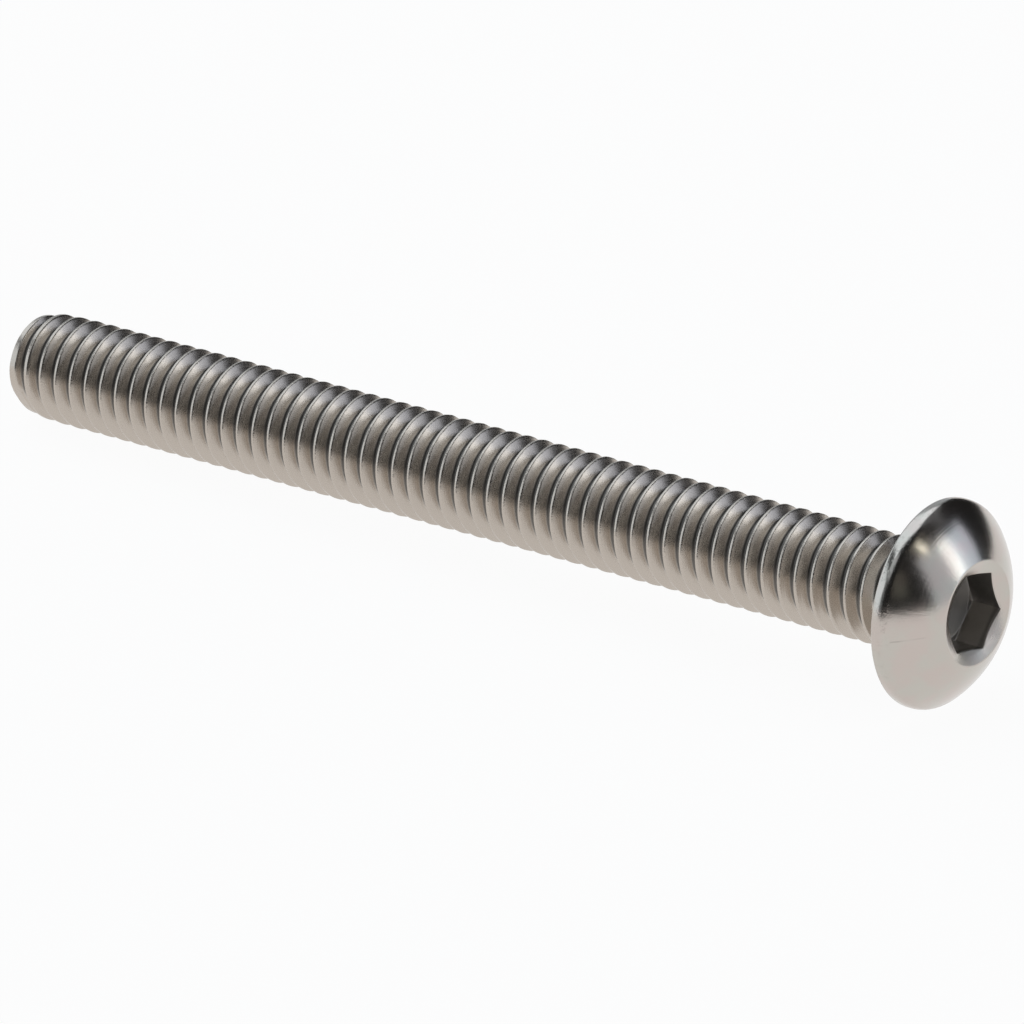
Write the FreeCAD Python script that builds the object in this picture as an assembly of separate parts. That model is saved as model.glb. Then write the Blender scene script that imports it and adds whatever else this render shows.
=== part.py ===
import FreeCAD, Part
import math
import os
from FreeCAD import Vector

# Button head screw with a hex socket, lying on its rim and its far end.
# Everything is turned about one axis. A point of the outline is given by its distance t from the
# bearing face, positive towards the tip, and by its radius.

# Thread: right-hand, rolled to the head. The shank is plain at the diameter over its crests.
THREAD_D = 3.86
THREAD_PITCH = 0.7
LENGTH = 39.75
NECK_LENGTH = 1.2
RUNOUT_ANGLE = 45.0
UNDERHEAD_RADIUS = 0.25

# Rolled point: a long shallow taper, then a short blunt edge
TAPER_LENGTH = 1.65
TAPER_DROP = 0.18
POINT_CHAMFER = 0.13

# Head
HEAD_D = 7.32
HEAD_HEIGHT = 1.80
RIM_HEIGHT = 0.40
DOME_ROUND = 0.50
RIM_ROUND = 0.08

# Socket: a hexagon with a dished mouth and a shallow cone at the bottom
SOCKET_FLATS = 2.60
SOCKET_DEPTH = 1.30
SOCKET_TURN = 43.2
MOUTH_D = 3.64
MOUTH_SLOPE = 24.0
BOTTOM_SLOPE = 25.0

# Forms of a 60 degree thread, as shares of its pitch
PITCH_LINE_SHARE = 0.6495
ROOT_SHARE = 1.2269

thread_r = THREAD_D / 2
neck_r = (THREAD_D - PITCH_LINE_SHARE * THREAD_PITCH) / 2
root_r = (THREAD_D - ROOT_SHARE * THREAD_PITCH) / 2
taper_r = thread_r - TAPER_DROP
head_r = HEAD_D / 2
mouth_r = MOUTH_D / 2
runout_length = (thread_r - neck_r) / math.tan(math.radians(RUNOUT_ANGLE))
thread_end = LENGTH - TAPER_LENGTH


def at(t, radius):
    """The outline's point at distance t from the bearing face, before the screw is laid down."""
    return Vector(-t, 0, radius)


def line(t0, r0, t1, r1):
    return Part.LineSegment(at(t0, r0), at(t1, r1)).toShape()


def dome_arc():
    """Arc of a circle centred on the axis, from the socket's mouth down to the rim."""
    rise = HEAD_HEIGHT - RIM_HEIGHT
    centre_t = (head_r**2 + RIM_HEIGHT**2 - mouth_r**2 - HEAD_HEIGHT**2) / (2 * rise)
    sphere_r = math.hypot(head_r, RIM_HEIGHT + centre_t)
    mouth_angle = math.asin(mouth_r / sphere_r)
    rim_angle = math.asin(head_r / sphere_r)
    middle = (mouth_angle + rim_angle) / 2
    between = at(centre_t - sphere_r * math.cos(middle), sphere_r * math.sin(middle))
    return Part.Arc(at(-HEAD_HEIGHT, mouth_r), between, at(-RIM_HEIGHT, head_r)).toShape()


def underhead_arc():
    """Quarter round from the bearing face into the neck."""
    r = UNDERHEAD_RADIUS
    lean = r * (1 - math.sqrt(0.5))
    return Part.Arc(at(0, neck_r + r), at(lean, neck_r + lean), at(r, neck_r)).toShape()


def rim_circles(shape, height):
    """Edges that run round the rim at that height above the bearing face."""
    circles = [e for e in shape.Edges if isinstance(e.Curve, Part.Circle)]
    return [e for e in circles
            if abs(e.Curve.Radius - head_r) < 1e-6 and abs(e.Curve.Center.x - height) < 1e-6]


def blank():
    """The screw without its socket: its outline turned about the axis, with the rim's edges rounded."""
    runout_end = NECK_LENGTH + runout_length
    outline = [
        line(-HEAD_HEIGHT, 0, -HEAD_HEIGHT, mouth_r),
        dome_arc(),
        line(-RIM_HEIGHT, head_r, 0, head_r),
        line(0, head_r, 0, neck_r + UNDERHEAD_RADIUS),
        underhead_arc(),
        line(UNDERHEAD_RADIUS, neck_r, NECK_LENGTH, neck_r),
        line(NECK_LENGTH, neck_r, runout_end, thread_r),
        line(runout_end, thread_r, thread_end, thread_r),
        line(thread_end, thread_r, LENGTH - POINT_CHAMFER, taper_r),
        line(LENGTH - POINT_CHAMFER, taper_r, LENGTH, root_r),
        line(LENGTH, root_r, LENGTH, 0),
        line(LENGTH, 0, -HEAD_HEIGHT, 0),
    ]
    turned = Part.Face(Part.Wire(outline)).revolve(at(0, 0), Vector(1, 0, 0), 360)
    turned = turned.makeFillet(DOME_ROUND, rim_circles(turned, RIM_HEIGHT))
    return turned.makeFillet(RIM_ROUND, rim_circles(turned, 0))


def hexagon(t):
    """The socket's section, with one corner turned SOCKET_TURN from straight up."""
    corner_r = SOCKET_FLATS / math.sqrt(3)
    corners = []
    for k in range(7):
        turn = math.radians(SOCKET_TURN + 60 * k)
        corners.append(Vector(-t, corner_r * math.sin(turn), corner_r * math.cos(turn)))
    return Part.Face(Part.makePolygon(corners))


def socket():
    """What is taken out of the head: hexagon, dished mouth and the cone at the bottom."""
    prism = hexagon(-HEAD_HEIGHT).extrude(Vector(-SOCKET_DEPTH, 0, 0))
    into_head = Vector(-1, 0, 0)
    dish_depth = mouth_r * math.tan(math.radians(MOUTH_SLOPE))
    dish = Part.makeCone(mouth_r, 0, dish_depth, at(-HEAD_HEIGHT, 0), into_head)
    flat_r = SOCKET_FLATS / 2
    bottom_t = SOCKET_DEPTH - HEAD_HEIGHT
    bottom_depth = flat_r * math.tan(math.radians(BOTTOM_SLOPE))
    bottom = Part.makeCone(flat_r, 0, bottom_depth, at(bottom_t, 0), into_head)
    return prism.fuse([dish, bottom])


def lie_down(shape):
    """Lay the screw on the floor: its rim's lower edge and the last full thread touch it.

    Both contacts are as low as each other when reach * sin(lean) - drop * cos(lean) = RIM_ROUND.
    """
    reach = RIM_ROUND + thread_end
    drop = head_r - RIM_ROUND - thread_r
    lean = math.atan2(drop, reach) + math.asin(RIM_ROUND / math.hypot(reach, drop))
    laid = shape.copy()
    laid.rotate(at(0, 0), Vector(0, 1, 0), -math.degrees(lean))
    lift = thread_end * math.sin(lean) + thread_r * math.cos(lean)
    box = laid.optimalBoundingBox(False, False)
    laid.translate(Vector(-(box.XMin + box.XMax) / 2, 0, lift))
    return laid, lean


screw, lean = lie_down(blank().cut(socket()).removeSplitter())

os.makedirs("parts", exist_ok=True)
screw.exportStep("parts/button_head_screw.step")

box = screw.optimalBoundingBox(False, False)
print("solids", len(screw.Solids), "valid", screw.isValid(), "volume", round(screw.Volume, 3))
print("box", [round(v, 4) for v in (box.XMin, box.XMax, box.YMin, box.YMax, box.ZMin, box.ZMax)])
print("lean", round(math.degrees(lean), 4))
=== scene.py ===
"""A button head screw with its rolled thread, lying on a white table under soft studio light.

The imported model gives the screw's place and box. One mesh stands for its only node: the socketed
head, the neck, the thread and the point are one closed surface turned about the screw's axis.
A place on it is given by t, the distance from the bearing face towards the tip, by the radius and
by the angle about the axis, which is zero at the top and grows to the right seen from the head.
"""

import math

import bmesh
import bpy
import numpy as np
from mathutils import Matrix, Vector


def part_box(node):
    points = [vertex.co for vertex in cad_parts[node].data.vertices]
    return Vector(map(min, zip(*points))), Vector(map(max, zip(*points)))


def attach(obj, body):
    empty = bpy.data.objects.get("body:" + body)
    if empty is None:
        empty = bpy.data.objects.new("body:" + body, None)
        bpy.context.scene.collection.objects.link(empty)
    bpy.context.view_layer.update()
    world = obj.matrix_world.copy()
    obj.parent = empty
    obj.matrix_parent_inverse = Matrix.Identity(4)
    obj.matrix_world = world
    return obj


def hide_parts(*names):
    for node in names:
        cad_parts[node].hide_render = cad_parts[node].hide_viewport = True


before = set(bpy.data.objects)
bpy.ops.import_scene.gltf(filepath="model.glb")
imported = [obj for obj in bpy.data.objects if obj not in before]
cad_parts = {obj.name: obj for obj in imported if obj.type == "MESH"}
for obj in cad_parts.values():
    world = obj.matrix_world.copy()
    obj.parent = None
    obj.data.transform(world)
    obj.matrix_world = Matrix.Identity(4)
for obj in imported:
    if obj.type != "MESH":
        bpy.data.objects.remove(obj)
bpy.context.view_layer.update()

bl_info = {
    "name": "Button Head Screw",
    "version": (1, 0, 0),
    "blender": (4, 5, 0),
    "location": "View3D > Sidebar > Screw",
    "description": "Threaded button head screw on a white table",
    "category": "Add Mesh",
}

NODE = "button_head_screw"
BODY = "root"
MM = 0.001

# Form of a 60 degree thread, as shares of its pitch below the crests, and half its angle
PITCH_LINE_DEPTH = 0.32475
ROOT_DEPTH = 0.61345
FLANK_ANGLE = math.radians(30)

# Thread, in millimetres: a crest passes the top of the screw at CREST_T. The rows of the thread
# begin at THREAD_START, and its form fades in over RUNOUT from RUNOUT_START.
CREST_T = 38.9439
THREAD_START = 1.10
RUNOUT_START = 1.20
RUNOUT = 0.30
HALF_CREST = 0.047
CREST_CORNER = 0.014
ROOT_CORNER = 0.06
ROOT_LIFT = 0.02

# Unevenness of the crests: its depth, seed, most waves around and number of waves
RAGGED_DEPTH = 0.0035
RAGGED_SEED = 11
RAGGED_WAVES = 26
RAGGED_COUNT = 24

# Rolled point: the taper and the blunt edge, how far the crests sink at SINK_T and how that grows
# with a pitch, and the place where the last crest is pressed in. Spreads are in degrees and pitches.
TAPER_LENGTH = 1.65
TAPER_DROP = 0.18
BLUNT_DROP = 0.25
SINK = 0.13
SINK_T = 39.45
SINK_GROWTH = 4.0
PRESSED_DEPTH = 0.14
PRESSED_T = 39.42
PRESSED_ANGLE = -122
PRESSED_SPREAD = 24
PRESSED_REACH = 0.3

# Shares of a pitch at which the thread has a row of vertices, measured from the middle of a crest,
# and those added where the crests at the point are sunk and so wider
ROW_SHARES = (-0.5, -0.46, -0.42, -0.35, -0.115, -0.08, -0.06, -0.04,
              0.0, 0.04, 0.06, 0.08, 0.115, 0.35, 0.42, 0.46)
POINT_SHARES = (-0.25, -0.22, -0.19, -0.16, 0.16, 0.19, 0.22, 0.25)
POINT_TURNS = 3
COLUMNS = 90
DOME_ROWS = 26
ROUND_ROWS = 9
UNDERHEAD_ROWS = 5
BLUNT_ROWS = 5
FACE_SHARES = (0.93, 0.5, 0.0)
CORNER_STEPS = 3
MERGE_DISTANCE = 2e-7
SHARP_ANGLE = math.radians(38)

# Small rounds of the socket's bottom, of the hexagon's edge in the dish and of the mouth
BOTTOM_EDGE = 0.03
DISH_EDGE = 0.06
MOUTH_EDGE = 0.04

# Noises of the steel: periods to a millimetre, detail and roughness
MOTTLE = (2.2, 5.0, 0.62)
CLOUD = (1.1, 3.0, 0.5)
GRAIN = (26.0, 4.0, 0.6)
PITS = (7.0, 4.0, 0.6)

# Relief of the steel, in millimetres
RING_RELIEF = 0.0022
PIT_RELIEF = 0.0015
SPOKE_RELIEF = 0.0017
GRAIN_RELIEF = 0.0010
ROLLED_RELIEF = 0.0028
CREST_RELIEF = 0.012
SOCKET_RELIEF = 0.003
NICK_DEPTH = 0.003
SCRATCH_DEPTH = 0.001
SCRATCH_ANGLE = math.radians(-91.5)

# Share of the table's light that it gives off where the camera or the metal sees it
TABLE_GLOW = 0.95
TABLE_HALF = 3.0

# The photograph's camera: where the middle of the bearing face lies from it, in millimetres
VIEW_AZIMUTH = 38.2702
VIEW_ELEVATION = 24.1193
VIEW_ROLL = 0.0353
BEARING_RIGHT = 14.2647
BEARING_UP = -3.0479
BEARING_AHEAD = 389.6605
LENS = 406.02
SENSOR = 36.0

# Lamps: the setting that gives the radiance and the share of it, azimuth and elevation, angles
# covered, roll and colour. Everything is in degrees seen from the screw.
WHITE = (0.97, 1.0, 0.99)
NEUTRAL = (0.94, 1.0, 1.08)
COOL = (0.91, 1.0, 1.08)
BLUE = (0.90, 1.0, 1.19)
WARM = (1.0, 0.97, 0.84)
LAMPS = (
    ("key_panel", "key", 1.0, (75.5, 20), (38, 42), 0, NEUTRAL),
    ("key_far", "key", 1.3, (47.5, 16.5), (25, 40), -16, BLUE),
    ("key_glow", "key", 0.33, (53, 23), (12, 35), 0, COOL),
    ("key_core", "key", 2.0, (63, 24.5), (11, 31), 0, WHITE),
    ("warm_lamp", "spark", 1.0, (84.5, 45.2), (5.5, 8), 0, WARM),
    ("side_low", "side", 1.0, (-123, 19), (68, 38), 0, COOL),
    ("left_low", "side", 0.40, (-60, 19), (58, 38), 0, COOL),
    ("back_low", "side", 0.15, (-168, 19), (22, 38), 0, COOL),
    ("back_high", "side", 0.5, (-168, 52), (30, 26), 0, NEUTRAL),
    ("top_panel", "top", 1.0, (-68, 66), (57, 59), -22, COOL),
    ("front_high", "top", 0.12, (5, 60), (50, 26), 0, COOL),
    ("front_low", "top", 0.09, (122, 24), (12, 20), 0, WARM),
)


class ScrewSizes(bpy.types.PropertyGroup):
    """Driving sizes of the screw, the same as the solid's."""

    thread_d: bpy.props.FloatProperty(
        name="Thread diameter", description="Diameter over the crests", default=3.86 * MM, unit="LENGTH")
    pitch: bpy.props.FloatProperty(
        name="Pitch", description="Distance between two crests", default=0.7 * MM, unit="LENGTH")
    length: bpy.props.FloatProperty(
        name="Length", description="From the bearing face to the tip", default=39.75 * MM, unit="LENGTH")
    point_edge: bpy.props.FloatProperty(
        name="Blunt edge", description="Length of the blunt edge of the point", default=0.13 * MM,
        unit="LENGTH")
    head_d: bpy.props.FloatProperty(
        name="Head diameter", description="Diameter of the rim", default=7.32 * MM, unit="LENGTH")
    head_height: bpy.props.FloatProperty(
        name="Head height", description="From the bearing face to the mouth", default=1.80 * MM,
        unit="LENGTH")
    rim_height: bpy.props.FloatProperty(
        name="Rim height", description="Straight band under the dome", default=0.40 * MM, unit="LENGTH")
    dome_round: bpy.props.FloatProperty(
        name="Dome round", description="Round between the dome and the rim", default=0.50 * MM,
        unit="LENGTH")
    rim_round: bpy.props.FloatProperty(
        name="Rim round", description="Round at the bearing face", default=0.08 * MM, unit="LENGTH")
    underhead: bpy.props.FloatProperty(
        name="Round under head", description="Radius from the bearing face to the neck",
        default=0.25 * MM, unit="LENGTH")
    flats: bpy.props.FloatProperty(
        name="Socket flats", description="Width across the flats", default=2.60 * MM, unit="LENGTH")
    socket_depth: bpy.props.FloatProperty(
        name="Socket depth", description="From the mouth to the end of the flats", default=1.30 * MM,
        unit="LENGTH")
    socket_turn: bpy.props.FloatProperty(
        name="Socket turn", description="Angle of the first corner from the top",
        default=math.radians(43.2), subtype="ANGLE")
    mouth_d: bpy.props.FloatProperty(
        name="Mouth diameter", description="Outer edge of the dished mouth", default=3.64 * MM,
        unit="LENGTH")
    mouth_slope: bpy.props.FloatProperty(
        name="Mouth slope", description="Fall of the dish towards the axis",
        default=math.radians(24), subtype="ANGLE")
    bottom_slope: bpy.props.FloatProperty(
        name="Bottom slope", description="Fall of the socket's bottom towards the axis",
        default=math.radians(25), subtype="ANGLE")


class ScrewFinish(bpy.types.PropertyGroup):
    """Colours and sheen of the steel."""

    steel: bpy.props.FloatVectorProperty(
        name="Steel", description="Polished steel of the head", default=(0.515, 0.49, 0.445),
        size=3, min=0, max=1, subtype="COLOR")
    bloom: bpy.props.FloatVectorProperty(
        name="Bloom", description="Pinkish haze in patches over the polished steel",
        default=(0.535, 0.475, 0.437), size=3, min=0, max=1, subtype="COLOR")
    rolled: bpy.props.FloatVectorProperty(
        name="Rolled steel", description="Flanks of the thread", default=(0.50, 0.447, 0.395),
        size=3, min=0, max=1, subtype="COLOR")
    broached: bpy.props.FloatVectorProperty(
        name="Broached steel", description="Grey walls of the socket", default=(0.75, 0.73, 0.70),
        size=3, min=0, max=1, subtype="COLOR")
    # Painted light: the thread's roots get this brighter colour, which lifts the shade in them
    root: bpy.props.FloatVectorProperty(
        name="Root steel", description="Bright steel in the roots of the thread",
        default=(0.90, 0.87, 0.83), size=3, min=0, max=1, subtype="COLOR")
    # Painted shade in the socket and a painted reflection on the dish take this colour, as do the real
    # dark nicks and scratch
    soot_and_shade: bpy.props.FloatVectorProperty(
        name="Soot", description="Dark residue in the socket and in marks", default=(0.13, 0.12, 0.11),
        size=3, min=0, max=1, subtype="COLOR")
    head_gloss: bpy.props.FloatProperty(
        name="Head roughness", description="Roughness of the polished dome", default=0.19, min=0, max=1,
        subtype="FACTOR")
    thread_gloss: bpy.props.FloatProperty(
        name="Thread roughness", description="Roughness of the rolled flanks", default=0.27, min=0, max=1,
        subtype="FACTOR")


class StudioSettings(bpy.types.PropertyGroup):
    """Levels of the lamps and the table."""

    key: bpy.props.FloatProperty(
        name="Key", description="Radiance of the panels behind the head", default=0.66, min=0)
    side: bpy.props.FloatProperty(
        name="Side", description="Radiance of the panels on the left", default=1.15, min=0)
    top: bpy.props.FloatProperty(
        name="Top", description="Radiance of the panel overhead and of the weak ones opposite",
        default=1.25, min=0)
    spark: bpy.props.FloatProperty(
        name="Spark", description="Radiance of the small warm lamp", default=3.2, min=0)
    room: bpy.props.FloatProperty(
        name="Room", description="Radiance of the dark room", default=0.018, min=0)
    table: bpy.props.FloatVectorProperty(
        name="Table", description="Colour of the table", default=(0.92, 0.92, 0.92), size=3, min=0, max=1,
        subtype="COLOR")


class Screw:
    """Sizes in metres, and the screw's axes as it lies: its lean is the solid's, and its box gives
    its place."""

    def __init__(self, sizes):
        self.sizes = sizes
        self.thread_r = sizes.thread_d / 2
        self.neck_r = self.thread_r - PITCH_LINE_DEPTH * sizes.pitch
        self.root_r = self.thread_r - ROOT_DEPTH * sizes.pitch
        self.head_r = sizes.head_d / 2
        self.mouth_r = sizes.mouth_d / 2
        self.flat_r = sizes.flats / 2
        self.thread_end = sizes.length - TAPER_LENGTH * MM
        reach = sizes.rim_round + self.thread_end
        drop = self.head_r - sizes.rim_round - self.thread_r
        self.lean = math.atan2(drop, reach) + math.asin(sizes.rim_round / math.hypot(reach, drop))
        sine, cosine = math.sin(self.lean), math.cos(self.lean)
        self.tipward = Vector((-cosine, 0, -sine))
        self.upward = Vector((-sine, 0, cosine))
        self.sideward = Vector((0, 1, 0))
        box_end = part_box(NODE)[1].x
        self.bearing = Vector((box_end - sizes.head_height * cosine - self.mouth_r * sine, 0,
                               self.thread_end * sine + self.thread_r * cosine))

    def axes(self):
        """Matrix whose columns are the axis towards the tip, up and sideways."""
        return Matrix((self.tipward, self.upward, self.sideward)).transposed()


def lower_of(a, b, width):
    """The lower of two values with a rounded corner: their mean less half the root of the squared
    difference plus the squared width."""
    return (a + b - np.sqrt((a - b) ** 2 + width**2)) / 2


def higher_of(a, b, width):
    """The higher of two values, with the same rounded corner."""
    return -lower_of(-a, -b, width)


def wave_noise(along, around, seed, waves, count):
    """Smooth seeded unevenness of about -1 to 1: a sum of count plane waves over the unrolled
    surface, each with a whole number of periods around, so that it closes."""
    rng = np.random.default_rng(seed)
    total = np.zeros(np.broadcast(along, around).shape)
    for _ in range(count):
        turns = rng.integers(-waves, waves + 1)
        rate = rng.normal(0, waves / (4 * MM))
        total += np.sin(turns * around + rate * along + rng.uniform(0, 2 * math.pi))
    return total / math.sqrt(count)


def thread_radius(screw, t, angle):
    """Radius of the thread's surface at distance t and angle.

    The distance x to the nearest crest of the helix gives two flanks at 30 degrees, cut by the
    crest and by the root with rounded corners. A crest sinks exponentially with its own distance
    along the screw, and a bell curve of angle and distance presses the last one in. Between the
    neck and the thread the form fades in along a half cosine.
    """
    sizes = screw.sizes
    turns = (t - CREST_T * MM) / sizes.pitch - angle / (2 * math.pi)
    from_crest = (turns - np.round(turns)) * sizes.pitch
    x = np.abs(from_crest)
    crest_t = t - from_crest
    flank = screw.thread_r - (x - HALF_CREST * MM) / math.tan(FLANK_ANGLE)
    sink = SINK * SINK_GROWTH ** ((crest_t - SINK_T * MM) / sizes.pitch)
    aside = np.mod(angle - math.radians(PRESSED_ANGLE) + math.pi, 2 * math.pi) - math.pi
    aside = aside / math.radians(PRESSED_SPREAD)
    along = (crest_t - PRESSED_T * MM) / (PRESSED_REACH * sizes.pitch)
    pressed = PRESSED_DEPTH * np.exp(-(aside**2) - along**2)
    ragged = RAGGED_DEPTH * wave_noise(t, angle, RAGGED_SEED, RAGGED_WAVES, RAGGED_COUNT)
    crest = screw.thread_r - (sink + pressed - ragged) * MM
    root = screw.root_r + ROOT_LIFT * MM
    form = higher_of(lower_of(flank, crest, CREST_CORNER * MM), root, ROOT_CORNER * MM)
    share = np.clip((t / MM - RUNOUT_START) / RUNOUT, 0, 1)
    fade = (1 - np.cos(math.pi * share)) / 2
    edge_t = sizes.length - sizes.point_edge
    blunt = screw.thread_r - (TAPER_DROP + BLUNT_DROP * (t - edge_t) / sizes.point_edge) * MM
    radius = screw.neck_r + fade * (form - screw.neck_r)
    return np.where(t > edge_t, np.minimum(radius, blunt), radius)


def hexagon_radius(screw, angle):
    """Distance from the axis to the hexagon: half the flats over the cosine of the angle to the
    middle of the nearest flat."""
    from_flat = np.mod(angle - screw.sizes.socket_turn, math.pi / 3) - math.pi / 6
    return screw.flat_r / np.cos(from_flat)


def rounded_path(corners, cuts):
    """Rows of points along a path whose corners are cut back by the given lengths and replaced by
    quadratic curves through the same tangents. Each corner is a pair of arrays, one value a column."""
    points = [np.stack(np.broadcast_arrays(*corner)) for corner in corners]
    rows = [points[0]]
    for before, corner, after, cut in zip(points, points[1:], points[2:], cuts[1:]):
        if cut == 0:
            rows.append(corner)
            continue
        ways = []
        for end in (before, after):
            length = np.maximum(np.hypot(*(end - corner)), 1e-12)
            ways.append((end - corner) * np.minimum(cut / length, 0.45))
        for s in np.linspace(0, 1, CORNER_STEPS + 1):
            rows.append(corner + ways[0] * (1 - s) ** 2 + ways[1] * s**2)
    rows.append(points[-1])
    return rows


def dome_profile(screw):
    """Points of the dome's arc outside the mouth and of the round that runs into the rim.

    The dome's circle is centred on the axis and passes the mouth and the rim's upper edge. The
    round touches it from inside: their centres are the difference of their radii apart.
    """
    sizes = screw.sizes
    rise = sizes.head_height - sizes.rim_height
    squares = screw.head_r**2 + sizes.rim_height**2 - screw.mouth_r**2 - sizes.head_height**2
    centre = squares / (2 * rise)
    dome_r = math.hypot(screw.head_r, sizes.rim_height + centre)
    round_r = screw.head_r - sizes.dome_round
    apart = math.sqrt((dome_r - sizes.dome_round) ** 2 - round_r**2)
    touch = math.atan2(round_r, apart)
    turns = np.linspace(math.asin(screw.mouth_r / dome_r), touch, DOME_ROWS)[1:]
    dome = [(centre - dome_r * math.cos(turn), dome_r * math.sin(turn)) for turn in turns]
    turns = np.linspace(touch, math.pi / 2, ROUND_ROWS)[1:]
    small_r = sizes.dome_round
    start = centre - apart
    edge = [(start - small_r * math.cos(turn), round_r + small_r * math.sin(turn)) for turn in turns]
    return dome + edge


def head_rows(screw, angle):
    """Rows from the middle of the socket's bottom up its walls, over the dish and the dome, round
    the rim and along the bearing face to the neck."""
    sizes = screw.sizes
    ones = np.ones_like(angle)
    top = -sizes.head_height
    bottom = top + sizes.socket_depth
    hexagon = hexagon_radius(screw, angle)
    dish_depth = (screw.mouth_r - hexagon) * math.tan(sizes.mouth_slope)
    corners = [
        (ones * (bottom + screw.flat_r * math.tan(sizes.bottom_slope)), 0 * ones),
        (ones * bottom, screw.flat_r * ones),
        (ones * bottom, hexagon),
        (top + dish_depth, hexagon),
        (ones * top, screw.mouth_r * ones),
    ]
    cuts = [0, BOTTOM_EDGE * MM, BOTTOM_EDGE * MM, DISH_EDGE * MM, MOUTH_EDGE * MM]
    for t, radius in dome_profile(screw):
        corners.append((t * ones, radius * ones))
        cuts.append(0)
    corners.append((0 * ones, screw.head_r * ones))
    cuts.append(sizes.rim_round)
    for turn in np.linspace(0, math.pi / 2, UNDERHEAD_ROWS):
        inward = sizes.underhead * (1 - math.sin(turn))
        along = sizes.underhead * (1 - math.cos(turn))
        corners.append((along * ones, (screw.neck_r + inward) * ones))
        cuts.append(0)
    corners.append((THREAD_START * MM * ones, screw.neck_r * ones))
    cuts.append(0)
    return rounded_path(corners, cuts)


def thread_rows(screw, angle):
    """Rows that climb with the helix, clipped between the neck and the blunt edge.

    Row distance: the crest's distance at the top, less whole pitches, plus a share of a pitch, plus
    the pitch times the angle in turns.
    """
    sizes = screw.sizes
    start, end = THREAD_START * MM, sizes.length - sizes.point_edge
    first = math.floor((start - CREST_T * MM) / sizes.pitch) - 2
    last = math.ceil((end - CREST_T * MM) / sizes.pitch) + 1
    usual = np.add.outer(np.arange(first, last), ROW_SHARES)
    added = np.add.outer(np.arange(last - POINT_TURNS, last), POINT_SHARES)
    turns = np.sort(np.concatenate([usual.ravel(), added.ravel()]))
    t = CREST_T * MM + sizes.pitch * (turns[:, None] + angle[None, :] / (2 * math.pi))
    t = np.clip(t, start, end)
    inside = (t.min(axis=1) < end) & (t.max(axis=1) > start)
    t = t[inside]
    return t, thread_radius(screw, t, angle[None, :])


def point_rows(screw, angle):
    """Rows over the blunt edge and across the end face to the axis."""
    sizes = screw.sizes
    edge_t = sizes.length - sizes.point_edge
    t = np.linspace(edge_t, sizes.length, BLUNT_ROWS)[1:, None] + 0 * angle[None, :]
    radius = thread_radius(screw, t, angle[None, :])
    face = np.array(FACE_SHARES)[:, None] * radius[-1:]
    t = np.vstack([t, np.full_like(face, sizes.length)])
    return t, np.vstack([radius, face])


def screw_surface(screw):
    """Vertices of the whole screw on a grid of rows along it and columns around it."""
    angle = screw.sizes.socket_turn + np.linspace(0, 2 * math.pi, COLUMNS + 1)
    head = np.array(head_rows(screw, angle))
    thread_t, thread_r = thread_rows(screw, angle)
    point_t, point_r = point_rows(screw, angle)
    t = np.vstack([head[:, 0], thread_t, point_t])
    radius = np.vstack([head[:, 1], thread_r, point_r])
    axes = np.array(screw.axes())
    local = np.stack([t, radius * np.cos(angle), radius * np.sin(angle)], axis=-1)
    return local @ axes.T + np.array(screw.bearing)


def grid_mesh(name, surface):
    """Mesh of quads over a grid of points. Points that coincide are merged, which closes the seam
    and the poles and drops the faces without an area."""
    rows, columns = surface.shape[:2]
    index = np.arange(rows * columns).reshape(rows, columns)
    corners = (index[:-1, :-1], index[:-1, 1:], index[1:, 1:], index[1:, :-1])
    quads = np.stack(corners, axis=-1).reshape(-1, 4)
    mesh = bpy.data.meshes.new(name)
    mesh.from_pydata(surface.reshape(-1, 3).tolist(), [], quads.tolist())
    form = bmesh.new()
    form.from_mesh(mesh)
    bmesh.ops.remove_doubles(form, verts=form.verts, dist=MERGE_DISTANCE)
    bmesh.ops.recalc_face_normals(form, faces=form.faces)
    form.to_mesh(mesh)
    form.free()
    mesh.shade_smooth()
    mesh.set_sharp_from_angle(angle=SHARP_ANGLE)
    return mesh


class Shade:
    """A number in a material. Python's operators on it add Math nodes."""

    def __init__(self, tree, socket):
        self.tree = tree
        self.socket = socket

    def math(self, operation, *others):
        return self.tree.node("ShaderNodeMath", {"operation": operation}, [self, *others]).number()

    def __add__(self, other):
        return self.math("ADD", other)

    def __sub__(self, other):
        return self.math("SUBTRACT", other)

    def __rsub__(self, other):
        return (self * -1) + other

    def __mul__(self, other):
        return self.math("MULTIPLY", other)

    def __truediv__(self, other):
        return self.math("DIVIDE", other)

    def __pow__(self, power):
        return self.math("POWER", power)

    __radd__ = __add__
    __rmul__ = __mul__

    def between(self, low, high):
        """0 below low and 1 above high, or the other way round where low is the higher, eased between."""
        ends = {"From Min": low, "From Max": high} if low < high else {"From Min": high, "From Max": low}
        eased = self.tree.node(
            "ShaderNodeMapRange", {"interpolation_type": "SMOOTHSTEP"}, {"Value": self, **ends}).number()
        return eased if low < high else 1 - eased


class Made:
    """A node that was added, whose outputs are read by name."""

    def __init__(self, tree, node):
        self.tree = tree
        self.node = node

    def number(self, name=0):
        return Shade(self.tree, self.node.outputs[name])

    def out(self, name=0):
        return self.node.outputs[name]


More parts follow.
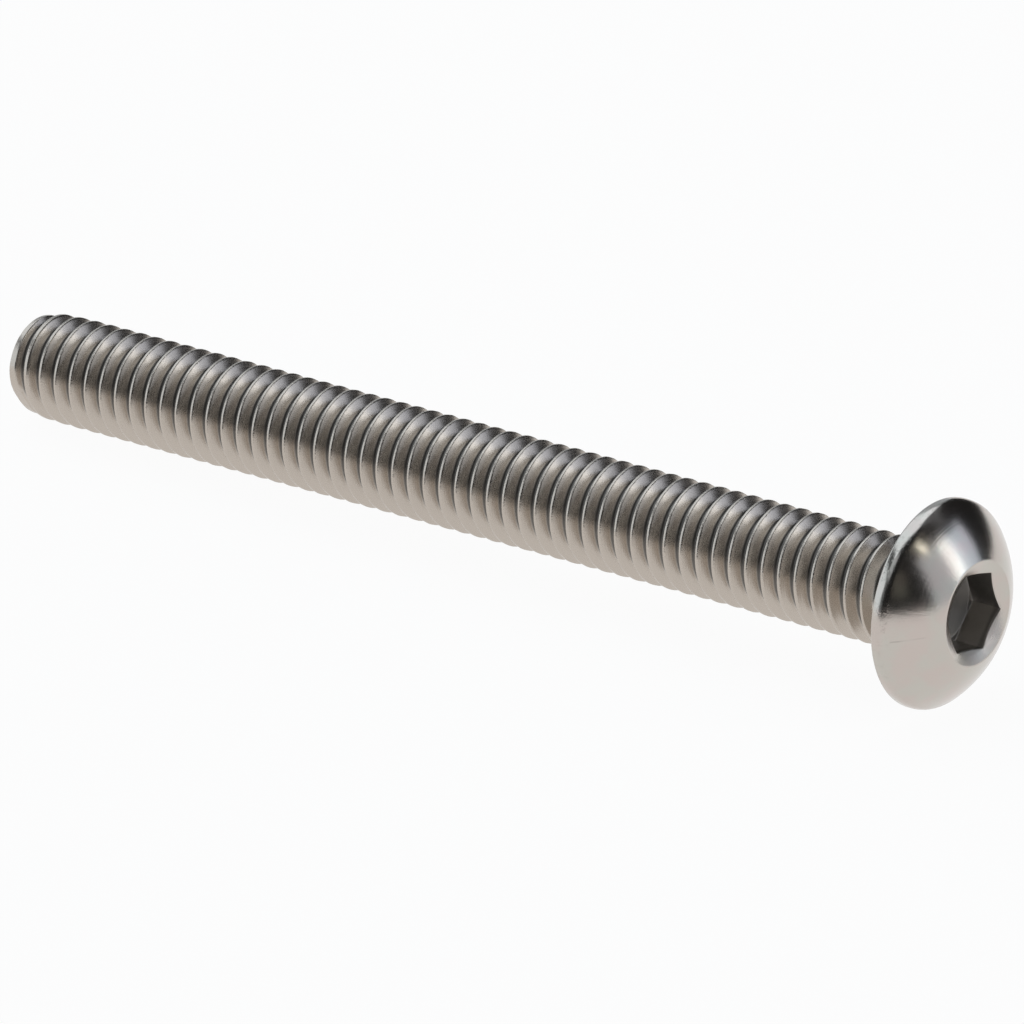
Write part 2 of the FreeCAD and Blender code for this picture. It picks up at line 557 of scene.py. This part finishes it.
class Nodes:
    """A material's or the world's nodes."""

    def __init__(self, owner):
        owner.use_nodes = True
        self.nodes = owner.node_tree.nodes
        self.links = owner.node_tree.links
        self.nodes.clear()

    def node(self, kind, settings=None, inputs=None):
        """Add a node of that kind: first its settings, then the values or links of its sockets,
        by name or in order."""
        made = self.nodes.new(kind)
        for name, value in (settings or {}).items():
            setattr(made, name, value)
        named = inputs.items() if isinstance(inputs, dict) else enumerate(inputs or [])
        for name, value in named:
            source = value.socket if isinstance(value, Shade) else value
            if isinstance(source, bpy.types.NodeSocket):
                self.links.new(source, made.inputs[name])
            else:
                made.inputs[name].default_value = source
        return Made(self, made)

    def blend(self, factor, first, second):
        """A colour between two others."""
        inputs = {0: factor, 6: first, 7: second}
        return self.node("ShaderNodeMix", {"data_type": "RGBA"}, inputs).out(2)

    def noise(self, place, scale, detail, roughness):
        """Noise of about 0.3 to 0.7 at that place."""
        inputs = {"Vector": place, "Scale": scale, "Detail": detail, "Roughness": roughness}
        return self.node("ShaderNodeTexNoise", {}, inputs).number("Fac")

    def place(self, x, y, z):
        """A vector of three numbers."""
        return self.node("ShaderNodeCombineXYZ", {}, [x, y, z]).out()


def opaque(colour):
    """A colour with full alpha, as a socket takes it."""
    return (*colour, 1)


def screw_coordinates(tree, screw):
    """Object coordinates turned into the screw's own, in millimetres: the first runs along the axis
    from the bearing face, the second points up and the third sideways."""
    spot = tree.node("ShaderNodeTexCoord").out("Object")
    mapping = {"Vector": spot, "Location": screw.bearing, "Rotation": screw.axes().to_euler(),
               "Scale": (MM, MM, MM)}
    return tree.node("ShaderNodeMapping", {"vector_type": "TEXTURE"}, mapping).out()


def steel_material(screw, finish):
    """Bright stainless steel: polished over the head, rolled and dull on the flanks, with painted light
    in the roots and painted shade, with a little dark residue, in the socket.

    From the screw's own coordinates follow the radius and the angle, and from these the distance
    along the thread to the nearest crest, in turns.
    """
    steel = bpy.data.materials.new("bright_stainless_steel")
    tree = Nodes(steel)
    own = screw_coordinates(tree, screw)
    axes = tree.node("ShaderNodeSeparateXYZ", {}, [own])
    t, y, z = (axes.number(name) for name in "XYZ")
    radius = (y * y + z * z) ** 0.5
    angle = z.math("ARCTAN2", y)
    turns = (t - CREST_T) / (screw.sizes.pitch / MM) - angle / (2 * math.pi)
    from_crest = ((turns + 0.5).math("FRACT") - 0.5).math("ABSOLUTE")
    depth = t + screw.sizes.head_height / MM
    mouth_r = screw.mouth_r / MM
    socket_depth = screw.sizes.socket_depth / MM

    # Places: 1 inside each and 0 outside it
    in_thread = t.between(THREAD_START + 0.05, RUNOUT_START + RUNOUT)
    crest = from_crest.between(0.12, 0.07)
    root = from_crest.between(0.30, 0.46)
    below_dish = depth - (mouth_r - radius) * math.tan(screw.sizes.mouth_slope)
    in_socket = below_dish.between(0.01, 0.06) * radius.between(1.62, 1.56)
    polished = (1 - in_thread) * (1 - in_socket)
    on_rim = t.between(-0.72, -0.45) * t.between(0.05, 0.0) * radius.between(3.1, 3.4)
    low = y.between(0.0, -0.4)
    right = z.between(0.2, 0.7)
    in_dish = (1 - in_socket) * radius.between(mouth_r + 0.03, mouth_r - 0.04) * depth.between(0.4, 0.3)
    cone = depth.between(socket_depth - 0.05, socket_depth + 0.04)

    # Patterns: polishing rings run round the axis, spokes run out from it and rolling marks follow
    # the helix
    mottle = tree.noise(own, *MOTTLE)
    cloud = tree.noise(own, *CLOUD)
    grain = tree.noise(own, *GRAIN)
    pits = tree.noise(own, *PITS)
    rings = tree.noise(tree.place(t * 14.0, radius * 14.0, angle * 0.9), 1.0, 4.0, 0.65)
    spokes = tree.noise(tree.place(angle * 30.0, radius * 1.3, 0.0), 1.0, 3.0, 0.6)
    along_helix = tree.place(angle * 2.4, radius * 16.0, turns.math("FRACT") * 9.0)
    rolling = tree.noise(along_helix, 1.0, 3.0, 0.6)

    # Marks: nicks on the rim and a scratch down the dome, and a painted reflection: a darker, rougher
    # patch on the low side of the dish
    nicks = on_rim * pits.between(0.54, 0.72)
    scratch = (angle - SCRATCH_ANGLE).math("ABSOLUTE").between(0.013, 0.003)
    scratch = scratch * radius.between(2.4, 2.7) * radius.between(3.48, 3.40)
    scratch = scratch * polished * mottle.between(0.35, 0.6)
    dish_reflection = in_dish * low * (0.2 * depth.between(0.12, 0.17) + 0.3 * y.between(-1.1, -1.5))

    # Painted shade in the socket, with a little mottled residue: on the walls more at the right and low
    # down, and nearly all over the bottom
    walls = 0.15 + 0.1 * pits + 0.3 * (1 - low) * right + 0.4 * low * depth.between(0.45, 0.3)
    soot_and_shade = in_socket * (walls * (1 - cone) + 0.95 * cone)
    soot_and_shade = soot_and_shade + dish_reflection + 0.25 * scratch + 0.12 * nicks

    colour = tree.blend(cloud.between(0.35, 0.65), opaque(finish.steel), opaque(finish.bloom))
    colour = tree.blend(in_thread, colour, opaque(finish.rolled))
    # Painted light in the roots: a brighter colour that lifts their shade
    colour = tree.blend(in_thread * root, colour, opaque(finish.root))
    colour = tree.blend(in_socket * 0.8, colour, opaque(finish.broached))
    # Painted shade in the socket and a painted reflection on the low side of the dish, with the dark
    # nicks and scratch
    colour = tree.blend(soot_and_shade, colour, opaque(finish.soot_and_shade))

    gloss = finish.head_gloss + (finish.thread_gloss - finish.head_gloss) * in_thread
    gloss = gloss + 0.08 * (mottle - 0.5) + 0.05 * (grain - 0.5) * (in_thread + in_socket)
    gloss = gloss + 0.05 * (rings - 0.5) + 0.16 * in_socket + 0.6 * dish_reflection

    height = polished * (RING_RELIEF * (rings - 0.5) + PIT_RELIEF * (pits - 0.5)
                         + SPOKE_RELIEF * (spokes - 0.5) + GRAIN_RELIEF * (grain - 0.5))
    height = height - NICK_DEPTH * nicks - SCRATCH_DEPTH * scratch
    height = height + in_thread * (ROLLED_RELIEF * (rolling - 0.5) + CREST_RELIEF * crest * (pits - 0.5))
    height = height + SOCKET_RELIEF * in_socket * (grain + pits - 1)
    bump = tree.node("ShaderNodeBump", {}, {"Strength": 1.0, "Distance": MM, "Height": height})

    shader = tree.node("ShaderNodeBsdfPrincipled", {}, {
        "Base Color": colour, "Metallic": 1.0, "Roughness": gloss, "Normal": bump.out()})
    tree.node("ShaderNodeOutputMaterial", {}, [shader.out()])
    return steel


def table_material(colour):
    """White table: seen directly or in the metal it is nearly white by itself, and the rest of its
    light keeps the shadow."""
    table = bpy.data.materials.new("white_table")
    tree = Nodes(table)
    paths = tree.node("ShaderNodeLightPath")
    seen = paths.number("Is Camera Ray").math("MAXIMUM", paths.number("Is Glossy Ray"))
    seen = seen.math("MAXIMUM", paths.number("Is Transmission Ray"))
    lit = tree.node("ShaderNodeBsdfDiffuse", {}, {"Color": opaque(colour)})
    white = tree.node("ShaderNodeEmission", {}, {"Strength": 1.0})
    shader = tree.node("ShaderNodeMixShader", {}, [seen * TABLE_GLOW, lit.out(), white.out()])
    tree.node("ShaderNodeOutputMaterial", {}, [shader.out()])
    return table


def towards(azimuth, elevation):
    """Unit direction: azimuth in degrees from +Y towards +X, elevation above the table."""
    a, e = math.radians(azimuth), math.radians(elevation)
    return Vector((math.sin(a) * math.cos(e), math.cos(a) * math.cos(e), math.sin(e)))


def add_panel(name, place, size, roll, radiance, colour):
    """Lamp panel a metre from the screw that faces it and covers the given angles: its side is twice
    the tangent of half the angle, and its power is pi times its area times its radiance."""
    lamp = bpy.data.lights.new(name, "AREA")
    lamp.shape = "RECTANGLE"
    lamp.size = 2 * math.tan(math.radians(size[0] / 2))
    lamp.size_y = 2 * math.tan(math.radians(size[1] / 2))
    lamp.energy = math.pi * lamp.size * lamp.size_y * radiance
    lamp.color = colour
    panel = bpy.data.objects.new(name, lamp)
    panel.location = towards(*place)
    faced = panel.location.to_track_quat("Z", "Y").to_matrix()
    panel.rotation_euler = (faced @ Matrix.Rotation(math.radians(roll), 3, "Z")).to_euler()
    bpy.context.scene.collection.objects.link(panel)


def add_camera(screw):
    """Camera at the photograph's viewing angle: it stands back from the middle of the bearing face
    by the measured distances to the right, up and ahead."""
    azimuth, elevation = math.radians(VIEW_AZIMUTH), math.radians(VIEW_ELEVATION)
    level = Vector((-math.sin(azimuth), math.cos(azimuth), 0))
    ahead = level * math.cos(elevation) - Vector((0, 0, math.sin(elevation)))
    sideways = Vector((math.cos(azimuth), math.sin(azimuth), 0))
    right = Matrix.Rotation(math.radians(-VIEW_ROLL), 3, ahead) @ sideways
    up = right.cross(ahead)
    lens = bpy.data.cameras.new("photo_camera")
    lens.sensor_width = SENSOR
    lens.lens = LENS
    lens.clip_start = 0.01
    camera = bpy.data.objects.new("photo_camera", lens)
    offset = (BEARING_RIGHT * right + BEARING_UP * up + BEARING_AHEAD * ahead) * MM
    camera.matrix_world = Matrix.Translation(screw.bearing - offset) @ Matrix(
        (right, up, -ahead)).transposed().to_4x4()
    bpy.context.scene.collection.objects.link(camera)
    bpy.context.scene.camera = camera


class BUTTON_SCREW_OT_add_screw(bpy.types.Operator):
    """Add the screw with its thread and steel, in the place of the plain solid"""

    bl_idname = "button_screw.add_screw"
    bl_label = "Add Screw"
    bl_options = {"REGISTER", "UNDO"}

    def execute(self, context):
        screw = Screw(context.scene.screw_sizes)
        mesh = grid_mesh("threaded_screw", screw_surface(screw))
        mesh.materials.append(steel_material(screw, context.scene.screw_finish))
        piece = bpy.data.objects.new("threaded_screw", mesh)
        context.scene.collection.objects.link(piece)
        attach(piece, BODY)
        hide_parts(NODE)
        return {"FINISHED"}


class BUTTON_SCREW_OT_set_stage(bpy.types.Operator):
    """Add the white table, the lamp panels, the room and the camera"""

    bl_idname = "button_screw.set_stage"
    bl_label = "Set Stage"
    bl_options = {"REGISTER", "UNDO"}

    def execute(self, context):
        scene = context.scene
        studio = scene.screw_studio
        mesh = bpy.data.meshes.new("table")
        corners = [(TABLE_HALF * x, TABLE_HALF * y, 0) for x, y in ((-1, -1), (1, -1), (1, 1), (-1, 1))]
        mesh.from_pydata(corners, [], [(0, 1, 2, 3)])
        mesh.materials.append(table_material(studio.table))
        table = bpy.data.objects.new("table", mesh)
        scene.collection.objects.link(table)

        for name, level, share, place, size, roll, colour in LAMPS:
            add_panel(name, place, size, roll, share * getattr(studio, level), colour)

        world = bpy.data.worlds.new("dark_room")
        scene.world = world
        tree = Nodes(world)
        room = tree.node("ShaderNodeBackground", {}, {"Color": (1, 1, 1, 1), "Strength": studio.room})
        tree.node("ShaderNodeOutputWorld", {}, [room.out()])
        scene.view_settings.view_transform = "Standard"
        add_camera(Screw(scene.screw_sizes))
        return {"FINISHED"}


class BUTTON_SCREW_PT_panel(bpy.types.Panel):
    """Sizes, finish and lamps of the button head screw"""

    bl_label = "Button Head Screw"
    bl_idname = "BUTTON_SCREW_PT_panel"
    bl_space_type = "VIEW_3D"
    bl_region_type = "UI"
    bl_category = "Screw"

    def draw(self, context):
        for title, group in (("Sizes", context.scene.screw_sizes), ("Finish", context.scene.screw_finish),
                             ("Studio", context.scene.screw_studio)):
            box = self.layout.box()
            box.label(text=title)
            for name in type(group).__annotations__:
                box.prop(group, name)
        self.layout.operator(BUTTON_SCREW_OT_add_screw.bl_idname)
        self.layout.operator(BUTTON_SCREW_OT_set_stage.bl_idname)


CLASSES = (
    ScrewSizes,
    ScrewFinish,
    StudioSettings,
    BUTTON_SCREW_OT_add_screw,
    BUTTON_SCREW_OT_set_stage,
    BUTTON_SCREW_PT_panel,
)


def register():
    for cls in CLASSES:
        bpy.utils.register_class(cls)
    bpy.types.Scene.screw_sizes = bpy.props.PointerProperty(type=ScrewSizes)
    bpy.types.Scene.screw_finish = bpy.props.PointerProperty(type=ScrewFinish)
    bpy.types.Scene.screw_studio = bpy.props.PointerProperty(type=StudioSettings)


def unregister():
    del bpy.types.Scene.screw_studio
    del bpy.types.Scene.screw_finish
    del bpy.types.Scene.screw_sizes
    for cls in reversed(CLASSES):
        bpy.utils.unregister_class(cls)


def main():
    register()
    bpy.ops.button_screw.set_stage()
    bpy.ops.button_screw.add_screw()


if __name__ == "__main__":
    main()
